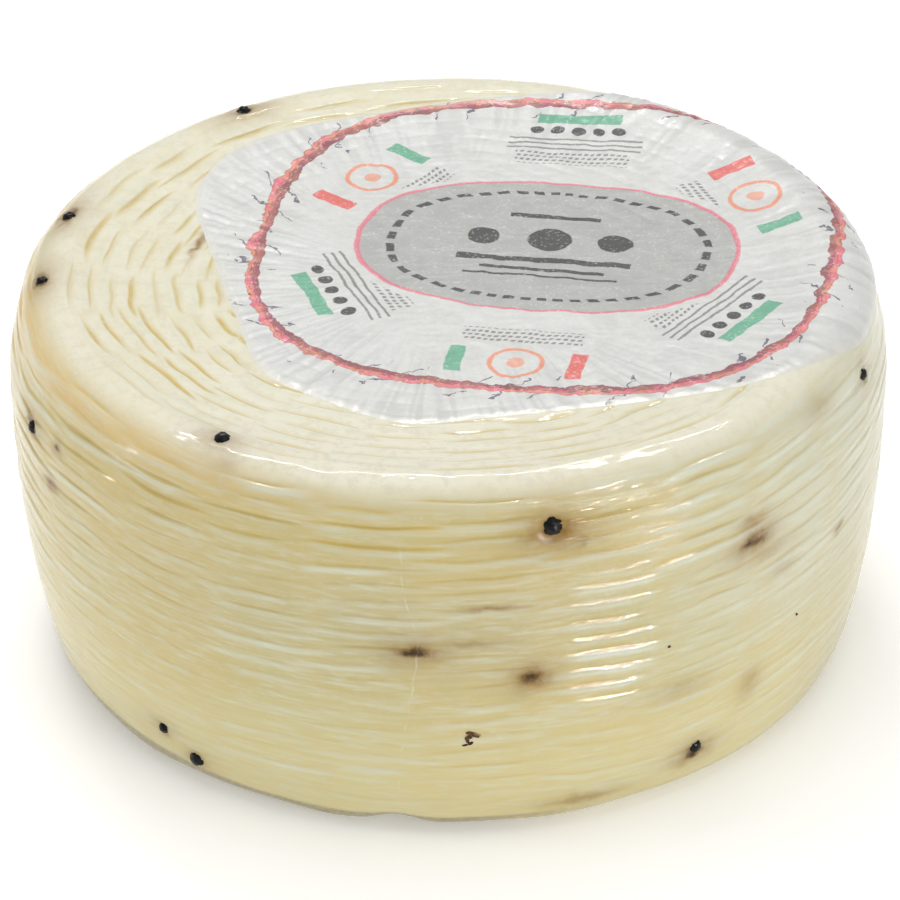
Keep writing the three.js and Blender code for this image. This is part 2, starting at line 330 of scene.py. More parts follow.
def basket_marks(azimuth, way):
    """Colour and relief fields of the basket's print at azimuth (degrees) and way (mm)."""
    azimuth, way = bent(azimuth, way)
    side = reed_prints(azimuth, way, SIDE_GROOVES_FROM, SIDE_GROOVE_PITCH, 20)
    fine = reed_prints(azimuth + 5, way, SIDE_GROOVES_FROM, SIDE_GROOVE_PITCH / 2, 90)
    top = reed_prints(azimuth, way, TOP_GROOVES_TO, TOP_GROOVE_PITCH, 40)
    below_band = smooth(BAND_TO - 1.5, BAND_TO + 1.0, way) * smooth(154, 148, way)
    above_band = smooth(BAND_FROM, BAND_FROM - 3, way) * smooth(34, 40, way)
    # The upper part of the side took the print best, and the lower left least. One column
    # in front keeps its ridges further down.
    worn = 0.34 + 0.66 * smooth(130, 100, way)
    left = near(azimuth, -130, 30)
    worn = worn * (1 - 0.5 * left * smooth(88, 112, way))
    right = near(azimuth, -12, 38, 4)
    worn = worn * (1 - 0.45 * right) * (0.8 + 0.45 * rind_noise(azimuth, way, 18, 14, 5.0))
    crisp = near(azimuth, CRISP_COLUMN, 8, 4) * smooth(134, 124, way)
    second = near(azimuth, SECOND_COLUMN, 6, 4) * smooth(98, 93, way)
    crisp = np.maximum(crisp, second)
    worn = np.maximum(worn, 0.95 * crisp)
    side_share = worn * below_band
    line_share = (0.3 + 0.7 * worn) * below_band
    roll_share = (0.4 + 0.6 * worn) * below_band
    swell = ridge_field(azimuth, way, SIDE_GROOVES_FROM, SIDE_GROOVE_PITCH) * side_share
    swell += 0.8 * above_band * ridge_field(azimuth, way, TOP_GROOVES_TO, TOP_GROOVE_PITCH)
    fields = {
        "crease": 0.85 * side[0] * line_share + 0.3 * fine[0] * below_band + top[0] * above_band,
        "hollow": side[1] * side_share + 0.85 * top[1] * above_band,
        "roll": side[2] * roll_share + 0.25 * fine[2] * below_band + 0.5 * top[2] * above_band,
        "brim": side[3] * side_share * (0.7 + 1.5 * crisp) + 0.35 * top[3] * above_band,
        "rib": rib_field(azimuth) * below_band * (0.4 + 0.6 * worn),
    }
    fields = {name: np.clip(field, 0, 2.2) for name, field in fields.items()}
    fields["swell"] = swell
    fields["streak"] = streak_field(azimuth, way) * (0.4 * above_band + below_band)
    return fields


# ---- meshes
def mesh_object(name, points, quads, triangles, material):
    """One smooth mesh from points in millimetres and arrays of quads and triangles."""
    mesh = bpy.data.meshes.new(name)
    sizes = np.concatenate([np.full(len(quads), 4), np.full(len(triangles), 3)])
    corners = np.concatenate([np.ravel(quads), np.ravel(triangles)]).astype(np.int32)
    starts = np.concatenate([[0], np.cumsum(sizes)[:-1]]).astype(np.int32)
    mesh.vertices.add(len(points))
    mesh.vertices.foreach_set("co", (np.asarray(points) * MM).astype(np.float32).ravel())
    mesh.loops.add(len(corners))
    mesh.loops.foreach_set("vertex_index", corners)
    mesh.polygons.add(len(sizes))
    mesh.polygons.foreach_set("loop_start", starts)
    mesh.update(calc_edges=True)
    mesh.validate()
    mesh.polygons.foreach_set("use_smooth", np.full(len(sizes), True))
    mesh.materials.append(material)
    thing = bpy.data.objects.new(name, mesh)
    scene.collection.objects.link(thing)
    return thing


def add_field(thing, name, values, kind="value"):
    """A number or a vector for each point, which the material reads by name."""
    types = {"value": "FLOAT", "vector": "FLOAT_VECTOR"}
    field = thing.data.attributes.new(name, types[kind], "POINT")
    field.data.foreach_set(kind, np.asarray(values, np.float32).ravel())


def ring_grid(rows, columns):
    """Faces of rows rings of columns points, closed by a point at each end."""
    index = 1 + np.arange(rows * columns).reshape(rows, columns)
    after = np.roll(index, -1, axis=1)
    quads = np.stack([index[:-1], index[1:], after[1:], after[:-1]], -1).reshape(-1, 4)
    top = np.stack([np.zeros(columns, int), index[0], after[0]], -1)
    end = np.full(columns, rows * columns + 1)
    bottom = np.stack([end, after[-1], index[-1]], -1)
    return quads, np.concatenate([top, bottom])


def capped(rings, top=0.0, end=0.0):
    """One value for each point of a closed grid: the top's middle, the rings, the end."""
    return np.concatenate([[top], np.reshape(rings, (-1, *np.shape(top))), [end]])


# ---- node helper
def new_node(kind):
    """A node in the tree of the material that is being made."""
    return Value.tree.nodes.new("ShaderNode" + kind)


def link(output, slot):
    Value.tree.links.new(output, slot)


def set_inputs(node, constants):
    for name, constant in constants.items():
        node.inputs[name].default_value = constant


def method(operation, swapped=False):
    """A method of Value: the Math node of the value and another term, if there is one."""
    def make(self, *other):
        terms = (*other, self) if swapped else (self, *other)
        return Value.math(operation, *terms)
    return make


class Value:
    """A number in a node tree. Sums, products and the like make Math nodes."""
    tree = None

    __add__ = method("ADD")
    __radd__ = method("ADD", swapped=True)
    __sub__ = method("SUBTRACT")
    __rsub__ = method("SUBTRACT", swapped=True)
    __mul__ = method("MULTIPLY")
    __truediv__ = method("DIVIDE")
    power = method("POWER")
    max = method("MAXIMUM")
    abs = method("ABSOLUTE")
    sin = method("SINE")
    cos = method("COSINE")
    sqrt = method("SQRT")

    def __init__(self, socket):
        self.socket = socket

    @staticmethod
    def math(operation, *terms, clamp=False):
        node = new_node("Math")
        node.operation = operation
        node.use_clamp = clamp
        for slot, term in zip(node.inputs, terms):
            if isinstance(term, Value):
                link(term.socket, slot)
            else:
                slot.default_value = term
        return Value(node.outputs[0])

    def clamp(self):
        return Value.math("ADD", self, 0, clamp=True)

    def wrap(self, low, high):
        return Value.math("WRAP", self, high, low)

    def ramp(self, low, high):
        """0 below low, 1 above high, smooth between."""
        node = new_node("MapRange")
        node.interpolation_type = "SMOOTHSTEP"
        set_inputs(node, {"From Min": low, "From Max": high})
        link(self.socket, node.inputs["Value"])
        return Value(node.outputs["Result"])


def mix(factor, first, second, blend="MIX"):
    """Mix of two colours, each a socket or an (r, g, b). The factor is held to 0 to 1."""
    node = new_node("Mix")
    node.data_type = "RGBA"
    node.blend_type = blend
    node.clamp_factor = True
    if isinstance(factor, Value):
        link(factor.socket, node.inputs[0])
    else:
        node.inputs[0].default_value = factor
    for slot, colour in ((node.inputs[6], first), (node.inputs[7], second)):
        if isinstance(colour, tuple):
            slot.default_value = (*colour, 1)
        else:
            link(colour, slot)
    return node.outputs[2]


def laid_over(colour, layers):
    """A colour under others, each laid over the last by its own share."""
    for share, tint in layers:
        colour = mix(share, colour, tint)
    return colour


def srgb(r, g, b):
    """Linear colour from 0-255 screen values."""
    def linear(c):
        c = c / 255
        return c / 12.92 if c <= 0.04045 else ((c + 0.055) / 1.055) ** 2.4
    return (linear(r), linear(g), linear(b))


def new_material(name):
    """A material and its shader. The nodes made from here on go into its tree."""
    material = bpy.data.materials.new(name)
    material.use_nodes = True
    Value.tree = material.node_tree
    shader = next(n for n in Value.tree.nodes if n.type == "BSDF_PRINCIPLED")
    return material, shader


def attribute(name, output="Fac"):
    node = new_node("Attribute")
    node.attribute_name = name
    return Value(node.outputs[output])


def attributes(*names):
    return [attribute(name) for name in names]


def coordinates():
    return new_node("TexCoord").outputs["Object"]


def noise_node(place, scale, detail=3.0, roughness=0.5, stretch=None):
    if stretch:
        mapping = new_node("Mapping")
        mapping.inputs["Scale"].default_value = stretch
        link(place, mapping.inputs["Vector"])
        place = mapping.outputs[0]
    node = new_node("TexNoise")
    set_inputs(node, {"Scale": scale, "Detail": detail, "Roughness": roughness})
    link(place, node.inputs["Vector"])
    return Value(node.outputs["Fac"])


def bump(shader, height, strength, distance, slots=("Normal",), under=None):
    """Bumps of a height, on top of the bumps under them where there are any."""
    node = new_node("Bump")
    set_inputs(node, {"Strength": strength, "Distance": distance})
    link(height.socket, node.inputs["Height"])
    if under:
        link(under, node.inputs["Normal"])
    for slot in slots:
        link(node.outputs[0], shader.inputs[slot])
    return node.outputs[0]


# ---- rind
PASTE = srgb(203, 192, 138)
PASTE_WARM = srgb(211, 190, 130)
PASTE_PALE = srgb(216, 219, 200)
PASTE_GREEN = srgb(196, 188, 134)
PASTE_COOL = srgb(209, 208, 184)
# The top's paste is whiter: painted sheen of the coating under the overhead light.
PASTE_TOP_PAINTED_SHEEN = srgb(231, 227, 208)
# Painted shade: darker paste for the middle of the side and the sides that turn away.
PASTE_PAINTED_SHADE = srgb(184, 174, 134)
# Lighter paste towards the foot: painted bounce light from the floor.
PASTE_PAINTED_BOUNCE_LIGHT = srgb(221, 211, 162)
PASTE_DULL = srgb(211, 204, 178)
PASTE_TAN = srgb(224, 196, 138)
GROOVE_OCHRE = srgb(208, 182, 104)
GROOVE_PALE = srgb(205, 187, 126)
HALO_BROWN = srgb(140, 98, 26)
CORE_BROWN = srgb(98, 68, 12)
CORE_DARK = srgb(40, 28, 2)
FOOT_GREY = srgb(148, 138, 112)
# Painted glints of the clear film: white sparkles and lines along its seams and folds.
PAINTED_FILM_GLINT = srgb(238, 238, 230)


def rolled_noise(length, width, detail=3.0):
    """Noise stretched along the rows: its grains are length by width millimetres."""
    rolled = attribute("rolled", "Vector").socket
    stretch = (1 / length, 1 / length, 1 / width)
    return noise_node(rolled, 1.0, detail, 0.55, stretch)


def paste_colour(place, grain):
    """The paste with its pale rolls, ochre creases and the tint of each region, with painted sheen
    on the top, painted shade, painted bounce light near the foot and painted film glints.
    """
    crease, hollow, roll, streak = attributes("crease", "hollow", "roll", "streak")
    warm, cool, tan, top = attributes("warm", "cool", "tan", "top")
    ochre, rib, low, painted_shade = attributes("ochre", "rib", "low", "painted_shade")
    broad = noise_node(place, 28, 3)
    patch = noise_node(place, 150, 4, 0.6)
    bloom = noise_node(place, 420, 4, 0.7)
    strand = rolled_noise(4.5, 0.7)
    tan_strand = (0.5 - strand - streak * 0.15).clamp() * 1.2
    pale_strand = (streak * 0.2 + strand - 0.5).clamp() * 1.5
    return laid_over(PASTE, [
        (broad.ramp(0.4, 0.62) * 0.6, PASTE_WARM),
        (patch.ramp(0.5, 0.7) * 0.5, PASTE_GREEN),
        (warm * (0.4 + patch * 1.2), PASTE_WARM),
        (cool * (0.45 + patch), PASTE_COOL),
        # Painted sheen: the top is laid over whiter than the side.
        (top * (0.6 + patch * 0.7), PASTE_TOP_PAINTED_SHEEN),
        (tan_strand * (0.25 + warm + rib * 0.5), GROOVE_PALE),
        # Painted bounce light: the paste is lighter towards the foot.
        (low * 0.6, PASTE_PAINTED_BOUNCE_LIGHT),
        # Painted shade on the middle of the side and on the sides that turn away.
        (painted_shade, PASTE_PAINTED_SHADE),
        (tan * (0.5 + patch), PASTE_TAN),
        (hollow * (0.3 + patch * 0.6 + top * 0.35), GROOVE_PALE),
        (rib * 0.3, PASTE_WARM),
        (pale_strand * (1 - top * 0.5), PASTE_PALE),
        (roll * (0.5 + strand), PASTE_PALE),
        (crease.ramp(0.05, 0.8) * ochre * (0.45 + patch), GROOVE_OCHRE),
        (bloom.ramp(0.46, 0.66) * (0.12 + top * 0.35), PASTE_DULL),
        # Painted glints: sparse white sparkles of the film, stronger on the top.
        ((bloom + grain - 1.19).clamp() * (0.6 + top * 2), PAINTED_FILM_GLINT),
    ])


def stained(place, grain, colour):
    """Halos round the peppercorns, dark cores, painted white glints along the film's seams and
    folds, and the netted foot.
    """
    halo, core, gap, foot = attributes("halo", "core", "seam_glint", "foot")
    seam_glint = 1 - (gap.abs() + (grain - 0.5) * 0.5).ramp(0.0, 0.36)
    broken = noise_node(place, 260, 2).ramp(0.42, 0.62)
    return laid_over(colour, [
        (halo * (0.7 + grain * 0.8), HALO_BROWN),
        ((core * (0.2 + grain * 1.4)).ramp(0.04, 0.5) * 0.8, CORE_BROWN),
        ((core * grain * 2).ramp(0.42, 0.9) * 0.85, CORE_DARK),
        # Painted highlight: broken white glint along the film's seams and folds.
        (seam_glint * (grain * 1.4 - 0.5).clamp() * broken, PAINTED_FILM_GLINT),
        (foot * (0.25 + grain * 0.9), FOOT_GREY),
    ])


def netting():
    """Fine net at the foot: two crossing waves, 1.1 mm apart along the edge."""
    around, down, foot = attributes("around", "down", "foot")
    return (around * 5.7).sin() * (down * 6.3).sin() * foot


def rind_material():
    material, shader = new_material("rind")
    place = coordinates()
    grain = noise_node(place, 900, 4, 0.6)
    colour = stained(place, grain, paste_colour(place, grain))
    link(colour, shader.inputs["Base Color"])
    set_inputs(shader, {
        "Roughness": 0.45, "IOR": 1.45, "Specular IOR Level": 0.1,
        "Subsurface Weight": 0.18, "Subsurface Radius": (1.0, 0.75, 0.4),
        "Subsurface Scale": 1.1 * MM,
        "Coat Weight": 0.65, "Coat Roughness": 0.06, "Coat IOR": 1.36,
    })
    ripple = rolled_noise(8, 0.8, 2.0)
    dapple = noise_node(place, 330, 2, 0.5)
    film = bump(shader, ripple * 0.5 + dapple * 0.3, 0.22, 0.3 * MM, ("Coat Normal",))
    fine = grain * 0.35 + netting()
    bump(shader, fine, 0.5, 0.16 * MM, ("Normal",), film)
    return material


# Peppercorns below the surface and stains in the paste: azimuth, way, half width and half
# height of the halo in mm, strength of the halo, strength of the dark core.
STAINS = [
    (-94.5, 112.4, 5, 2.4, 0.5, 0.95), (-79.8, 119, 3.6, 2.7, 0.62, 0.8),
    (-48.4, 102.4, 4.6, 2.6, 0.6, 0.75), (-48.9, 98, 3.4, 1.5, 0.42, 0),
    (-46, 106.5, 5.5, 1.6, 0.28, 0), (-55.4, 148, 3.8, 2.5, 0.58, 0.85),
    (-76.6, 88.2, 5.5, 3.3, 0.62, 0), (-74.4, 88.6, 3, 2, 0.44, 0),
    (-73.4, 90.7, 3.4, 1.1, 0.4, 0), (163.5, 50.5, 4, 0.6, 0.6, 0.15),
    (-59, 129.6, 5.6, 2.2, 0.22, 0), (-47, 136, 2.4, 3.2, 0.3, 0),
    (-43, 111.8, 3.6, 1.5, 0.2, 0), (-29.6, 113.4, 1.6, 0.9, 0.6, 0.35),
    (-72, 152, 7, 1.5, 0.42, 0), (-88, 110.5, 5.5, 1, 0.28, 0),
    (-84.8, 103, 4.2, 0.5, 0.45, 0.25), (-124.1, 75, 4.6, 3, 0.34, 0),
    (-121, 79.5, 3, 1.8, 0.2, 0), (-127.4, 151, 3.4, 2.6, 0.25, 0),
    (-132.6, 146.3, 3.2, 2.2, 0.3, 0), (-158.8, 95.4, 3.6, 2, 0.6, 0.85),
    (-150.4, 94.2, 1.6, 1.4, 0.45, 0.8), (-152.4, 103.8, 2.8, 1.3, 0.65, 0.45),
    (163.5, 77.5, 5.6, 3.2, 0.42, 0.7), (-178.2, 78.5, 5, 3, 0.42, 0.6),
    (122.7, 75.4, 5.2, 2.8, 0.45, 0.5), (-19.3, 88, 3.6, 2.6, 0.3, 0),
    (-33, 84.5, 5, 2.6, 0.18, 0),
]
# Seams and folds of the clear film, where a white line of painted glint is drawn: azimuth and way
# of their corners.
FILM_SEAM_GLINTS = [
    [(-96.2, 90), (-95.9, 98.5), (-95.2, 103), (-94.2, 108), (-94.1, 112), (-94.9, 121),
     (-96.1, 133), (-97.2, 146)],
    [(-85.2, 78.5), (-86.0, 80.1), (-87.0, 81.4), (-88.7, 83.1), (-90.3, 85.1)],
    [(-91.7, 78.1), (-91.8, 79.7), (-92.0, 81.5)],
]
BACK_STAINS = 10
BACK_STAINS_TO_AZIMUTH = 172


def all_stains():
    """The stains that show from the front, and seeded ones on the side that faces away."""
    stains = list(STAINS)
    for i in range(BACK_STAINS):
        azimuth = BACK_STAINS_TO_AZIMUTH * (i + scatter(i, 21)) / BACK_STAINS
        way = between(*BACK_WAYS, scatter(i, 22))
        size = 3 + 2.4 * scatter(i, 23)
        stains.append((azimuth, way, size, size * 0.6, 0.5, 0.85 * round(scatter(i, 24))))
    return stains


def seam_glint_gap(azimuth, way, radius):
    """Millimetres to the nearest painted glint line of the film, 9 where far from every one."""
    nearest = np.full_like(way, 9.0)
    for corners in FILM_SEAM_GLINTS:
        at, over = np.array(corners, float).T[::-1]
        middle = np.interp(way, at, over) + 0.08 * np.sin(way * 1.1) + 0.04 * np.sin(way * 2.3)
        gap = np.radians(turn_gap(azimuth, middle)) * radius
        past_end = np.maximum(np.maximum(at[0] - way, way - at[-1]), 0)
        gap = np.where(past_end > 0, np.hypot(gap, past_end), gap)
        nearest = np.where(np.abs(gap) < np.abs(nearest), gap, nearest)
    return nearest


def stain_fields(azimuth, way, radius):
    fields = {"seam_glint": seam_glint_gap(azimuth, way, radius)}
    way = way + 0.6 * rind_noise(azimuth, way, 240, 1.7, 81.0)
    azimuth = azimuth + 0.5 * rind_noise(azimuth, way, 200, 1.9, 82.0)
    halo = core = np.zeros_like(way)
    for middle, at, wide, high, halo_share, core_share in all_stains():
        across = np.radians(turn_gap(azimuth, middle)) * radius / wide
        far = across ** 2 + ((way - at) / high) ** 2
        halo = np.maximum(halo, halo_share * (0.8 * np.exp(-far) + 0.5 * np.exp(-far / 2.8)))
        core = np.maximum(core, core_share * np.exp(-(far * 4) ** 0.9))
    fields.update({"halo": halo, "core": core})
    return fields


def region_fields(azimuth, way):
    """Where the paste is tan or cool, where it carries painted sheen on the top, painted shade and
    painted bounce light near the foot, and where its grooves turn ochre.
    """
    left = near(azimuth, -150, 36)
    edge = near(azimuth, 176, 16) * smooth(78, 86, way)
    shoulder = hill(way, 83, 3.4)
    upper = smooth(80, 88, way) * smooth(114, 98, way)
    low = smooth(120, 146, way)
    right = smooth(-80, -30, azimuth) * smooth(110, 60, azimuth)
    front = near(azimuth, -106, 26)
    middle = hill(way, 108, 13) * near(azimuth, -92, 34)
    ochre = 0.6 + 0.35 * front * upper + 0.35 * left * smooth(80, 70, way) + 0.15 * upper
    ochre *= (1 - 0.45 * left * smooth(80, 90, way))
    ochre *= (1 - 0.65 * smooth(-72, -46, azimuth) * smooth(60, 20, azimuth))
    # Painted shade: the far right, the far left edge and the middle of the front are darkened.
    painted_shade = 0.9 * smooth(-45, -20, azimuth) * smooth(60, 30, azimuth) * smooth(86, 98, way)
    painted_shade += middle + 1.2 * near(azimuth, 176, 14)
    foot_from = 153.6 - 2.4 * near(azimuth, -150, 24)
    foot_share = 1 - 0.85 * smooth(-90, -66, azimuth) * (azimuth < 60)
    return {
        "warm": np.clip(0.4 * upper * (1 - right) + 0.15 * left + 0.25 * low + 0.6 * edge, 0, 1),
        "tan": np.clip(left * shoulder + 0.5 * edge * smooth(118, 96, way), 0, 1),
        "cool": np.clip(right * smooth(138, 112, way) + 0.12 * middle, 0, 1),
        "top": (0.9 + 0.25 * front) * smooth(86, 76, way),
        # Share of painted bounce light, rising towards the foot.
        "low": low,
        "painted_shade": 0.55 * np.clip(painted_shade * smooth(74, 84, way), 0, 1),
        "ochre": ochre,
        "foot": smooth(foot_from, foot_from + 1.2, way) * foot_share,
    }


def wheel_rows():
    """Ways of the surface rows: finest where the rind shows its marks."""
    return np.concatenate([
        np.linspace(3, 34, 12, endpoint=False),
        np.arange(34, 48, 0.4),
        np.arange(48, 128, ROW_STEP),
        np.arange(128, FOOT_WAY, 0.27),
        np.arange(FOOT_WAY, END_WAY - 26, 1.0),
        np.linspace(END_WAY - 26, END_WAY - 3, 8),
    ])


def peppercorn_dimples(azimuth, way, radius, depth):
    """The paste lies smooth round a peppercorn, with a sunk rim and a low lip."""
    for middle, at, size in all_peppercorns():
        gap = np.hypot(np.radians(turn_gap(azimuth, middle)) * radius, way - at)
        depth = depth * (1 - 0.7 * hill(gap, 0, 1.5 * size, 4))
        depth += 0.35 * hill(gap, size, 0.3 * size)
        depth -= 0.1 * hill(gap, 1.7 * size, 0.35 * size)
    return depth


def under_label(azimuth, way):
    """1 below the label and 0 clear of it."""
    outline = label_outline(LABEL_SPOKES) - LABEL_CENTRE
    x = way * np.cos(np.radians(azimuth)) - LABEL_CENTRE[0]
    y = way * np.sin(np.radians(azimuth)) - LABEL_CENTRE[1]
    around = np.arctan2(outline[:, 1], outline[:, 0])
    reach = np.interp(np.arctan2(y, x), around, np.hypot(*outline.T), period=2 * np.pi)
    return smooth(1.2, -0.5, np.hypot(x, y) - reach)


def underside_relief(azimuth, way):
    """The mould's floor leaves rings of grooves on the underside too."""
    from_middle = END_WAY - way
    crease, hollow, _, _ = reed_prints(azimuth, from_middle, 68.0, TOP_GROOVE_PITCH, 60)
    clear = smooth(FOOT_WAY + 1, FOOT_WAY + 5, way) * smooth(14, 24, from_middle)
    return (0.2 * crease + 0.25 * hollow) * clear


def rind_depth(azimuth, way, radius, fields):
    """Depth of the side and top below the smooth rind, in millimetres."""
    sag = rind_noise(azimuth, way, 14, 24, 1.0) + 0.6 * rind_noise(azimuth, way, 34, 9, 2.0)
    dapple = rind_noise(azimuth, way, 110, 3.2, 3.0)
    depth = 0.2 + 0.1 * sag + 0.04 * dapple + 0.015 * fields["streak"]
    depth += 0.13 * fields["crease"] + 0.28 * fields["hollow"] - 0.17 * fields["roll"]
    depth += 0.1 * fields["swell"] + 0.1 * fields["rib"] - 0.11 * fields["brim"]
    level = 0 * way
    lip = way - LIP_WAY - 1.5 * rind_noise(azimuth, level, 26, 1, 6.0)
    lip -= 0.4 * rind_noise(azimuth, level, 84, 1, 7.0)
    lip_relief = 0.1 * hill(lip, -2.2, 1.2) - 0.14 * hill(lip, 0, 1.0)
    depth += lip_relief * near(azimuth, -88, 46, 4)
    film = 0.6 * rind_noise(azimuth, way, 210, 1.4, 8.0)
    film += 0.4 * rind_noise(azimuth, way, 420, 0.9, 8.5)
    depth += 0.045 * film * hill(way, LIP_WAY, 3.5, 4)
    outside = smooth(FOOT_WAY + 1, FOOT_WAY - 3, way)
    depth = peppercorn_dimples(azimuth, way, radius, depth) * outside
    return np.maximum(depth, 0) * (1 - 0.8 * under_label(azimuth, way))


def foot_shape(azimuth, points):
    """The dent and the lumps of the bottom edge."""
    low = np.clip(1 - points[..., 2] / (FOOT_ROUNDING * 1.3), 0, 1)
    along = np.radians(turn_gap(azimuth, NOTCH_AZIMUTH)) * FOOT_RADIUS
    dent = NOTCH_DEPTH * low * hill(along, 0, NOTCH_WIDTH)
    lumps = low * (0.55 * (1 + rind_noise(azimuth, 0 * azimuth, 34, 1, 9.0)))
    shrink = 1 - (dent + lumps) / FOOT_RADIUS
    points[..., 0] *= shrink
    points[..., 1] *= shrink
    edge = hill(np.hypot(points[..., 0], points[..., 1]), FOOT_RADIUS - 3, 4)
    points[..., 2] += 1.1 * low * edge * hill(along, 0, NOTCH_WIDTH)


def make_wheel():
    azimuths = 90 + np.linspace(-360, 0, RING_POINTS, endpoint=False)
    azimuth, way = np.meshgrid(azimuths, wheel_rows())
    radius = np.interp(way, WAYS, SECTION[:, 0])
    fields = basket_marks(azimuth, way)
    depth = rind_depth(azimuth, way, radius, fields) + underside_relief(azimuth, way)
    points = on_rind(np.radians(azimuth), way, -depth)
    foot_shape(azimuth, points)

    fields.update(stain_fields(azimuth, way, radius))
    fields.update(region_fields(turn_gap(azimuth, 0), way))
    around = np.radians(azimuth)
    fields["around"] = around * FOOT_RADIUS
    fields["down"] = way
    rolled = [STRAND_RADIUS * np.cos(around), STRAND_RADIUS * np.sin(around), way]

    points = capped(points, (0, 0, WHEEL_HEIGHT - TOP_DISH), (0, 0, 0))
    wheel = mesh_object("rind", points, *ring_grid(*way.shape), rind_material())
    for name, field in fields.items():
        add_field(wheel, name, capped(field))
    rolled = capped(np.stack(rolled, -1), (0, 0, 0), (0, 0, END_WAY))
    add_field(wheel, "rolled", rolled, "vector")
    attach(wheel, "root")
    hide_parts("wheel")


# ---- peppercorns
def peppercorn_material():
    material, shader = new_material("peppercorn")
    place = coordinates()
    mottled = noise_node(place, 900, 4, 0.6)
    colour = mix(mottled.ramp(0.45, 0.75), srgb(6, 6, 7), srgb(24, 22, 21))
    husk = mix(mottled.ramp(0.35, 0.65), srgb(44, 24, 8), srgb(104, 66, 26))
    colour = mix(attribute("husk"), colour, husk)
    link(colour, shader.inputs["Base Color"])
    set_inputs(shader, {"Roughness": 0.4, "Specular IOR Level": 0.15,
                        "Coat Weight": 0.2, "Coat Roughness": 0.1})
    bump(shader, mottled, 0.6, 0.3 * MM)
    return material


def ball_directions(rings, segments):
    """Directions to the points of a ball, from its top down."""
    fall = np.linspace(0, np.pi, rings + 2)[1:-1]
    around = np.linspace(0, 2 * np.pi, segments, endpoint=False)
    fall, around = np.meshgrid(fall, around, indexing="ij")
    body = np.stack([np.sin(fall) * np.cos(around), np.sin(fall) * np.sin(around),
                     np.cos(fall)], -1)
    return capped(body, (0, 0, 1), (0, 0, -1))


# Flecks of broken pepper: azimuth, way, half length, half width, tilt in degrees, husk.
FLECKS = [
    (-61.4, 118.5, 0.32, 0.26, 0, 0.8),
    (-38.8, 126, 0.3, 0.25, 20, 0.8),
    (-87.6, 131.3, 1, 0.42, 8, 1),
    (-87, 131.8, 0.95, 0.5, 32, 1),
    (-87.8, 132.3, 0.75, 0.5, -24, 0.9),
    (-88, 133.1, 0.8, 0.38, 62, 0.7),
    (-87.6, 133.8, 0.5, 0.36, -40, 0.5),
    (-88.3, 134.2, 0.6, 0.22, -12, 0.5),
]
FLECK_PROUD = 0.05
FLECK_DEPTH = 0.2


def tangent_axes(azimuth, way):
    """Directions along the row, down the rind and out of it, at one place."""
    a = np.radians(azimuth)
    along = np.array([-np.sin(a), np.cos(a), 0])
    down = on_rind(a, way + 0.2) - on_rind(a, way - 0.2)
    down = down / np.linalg.norm(down)
    return along, down, np.cross(down, along)


def fleck_points(directions, fleck, number):
    """A flat ragged flake that lies in the surface."""
    azimuth, way, half_length, half_width, tilt, _ = fleck
    along, down, out = tangent_axes(azimuth, way)
    c, s = np.cos(np.radians(tilt)), np.sin(np.radians(tilt))
    x, y, z = directions.T
    ragged = 1 + 0.3 * noise(x * 2.4 + number, y * 2.4, 14.0)
    ragged += 0.15 * noise(x * 6, y * 6 + number, 15.0)
    x, y = x * ragged * half_length, y * ragged * half_width
    x, y = x * c - y * s, x * s + y * c
    lift = FLECK_PROUD - FLECK_DEPTH + FLECK_DEPTH * z
    centre = on_rind(np.radians(azimuth), way)
    return centre + x[:, None] * along + y[:, None] * down + lift[:, None] * out


def corn_points(directions, corn, number):
    """A wrinkled ball sunk in the surface."""
    azimuth, way, size = corn
    x, y, z = directions.T
    wrinkles = 0.16 * np.abs(noise(x * 2.2 + y * 1.7, z * 2.6 + number * 7, 11.0))
    wrinkles += 0.09 * np.abs(noise(y * 4.9 - x * 2.0, z * 5.3 + number * 3, 12.0))
    centre = on_rind(np.radians(azimuth), way, size * (PEPPERCORN_PROUD - 1))
    return centre + directions * (1.03 - wrinkles[:, None]) * size


def make_peppercorns():
    """Black wrinkled beads and small flecks, all in one mesh."""
    directions = ball_directions(BALL_RINGS, BALL_SEGMENTS)
    corns = all_peppercorns()
    pieces = [corn_points(directions, corn, number) for number, corn in enumerate(corns)]
    pieces += [fleck_points(directions, fleck, number) for number, fleck in enumerate(FLECKS)]
    husks = [0] * len(corns) + [fleck[-1] for fleck in FLECKS]
    starts = len(directions) * np.arange(len(pieces))
    faces = [np.concatenate([kind + first for first in starts])
             for kind in ring_grid(BALL_RINGS, BALL_SEGMENTS)]
    points = np.concatenate(pieces)
    thing = mesh_object("peppercorns", points, *faces, peppercorn_material())
    add_field(thing, "husk", np.repeat(husks, len(directions)))
    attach(thing, "root")


# ---- label
def label_outline(count):
    """The label's edge on the rolled-out rind, evenly spaced, corners rounded."""
    corners = np.array(LABEL_CORNERS, float)
    pieces = []
    t = np.linspace(0, 1, 24)[:, None]
    for i, corner in enumerate(corners):
        ends = []
        for other in (corners[i - 1], corners[(i + 1) % len(corners)]):
            way = other - corner
            reach = min(LABEL_CORNER_EASE, np.hypot(*way) / 2)
            ends.append(corner + way / np.hypot(*way) * reach)
        start, end = ends
        pieces.append(eased(start, corner, end, t))
    loop = np.concatenate(pieces)
    loop = np.concatenate([loop, loop[:1]])
    along = np.concatenate([[0], np.cumsum(np.hypot(*np.diff(loop, axis=0).T))])
    spaced = np.linspace(0, along[-1], count, endpoint=False)
    return np.stack([np.interp(spaced, along, loop[:, k]) for k in (0, 1)], 1)


def sharp(value):
    """Soft noise turned into narrow folds between smooth hollows."""
    return 1 - 2 * np.abs(value) ** 0.7


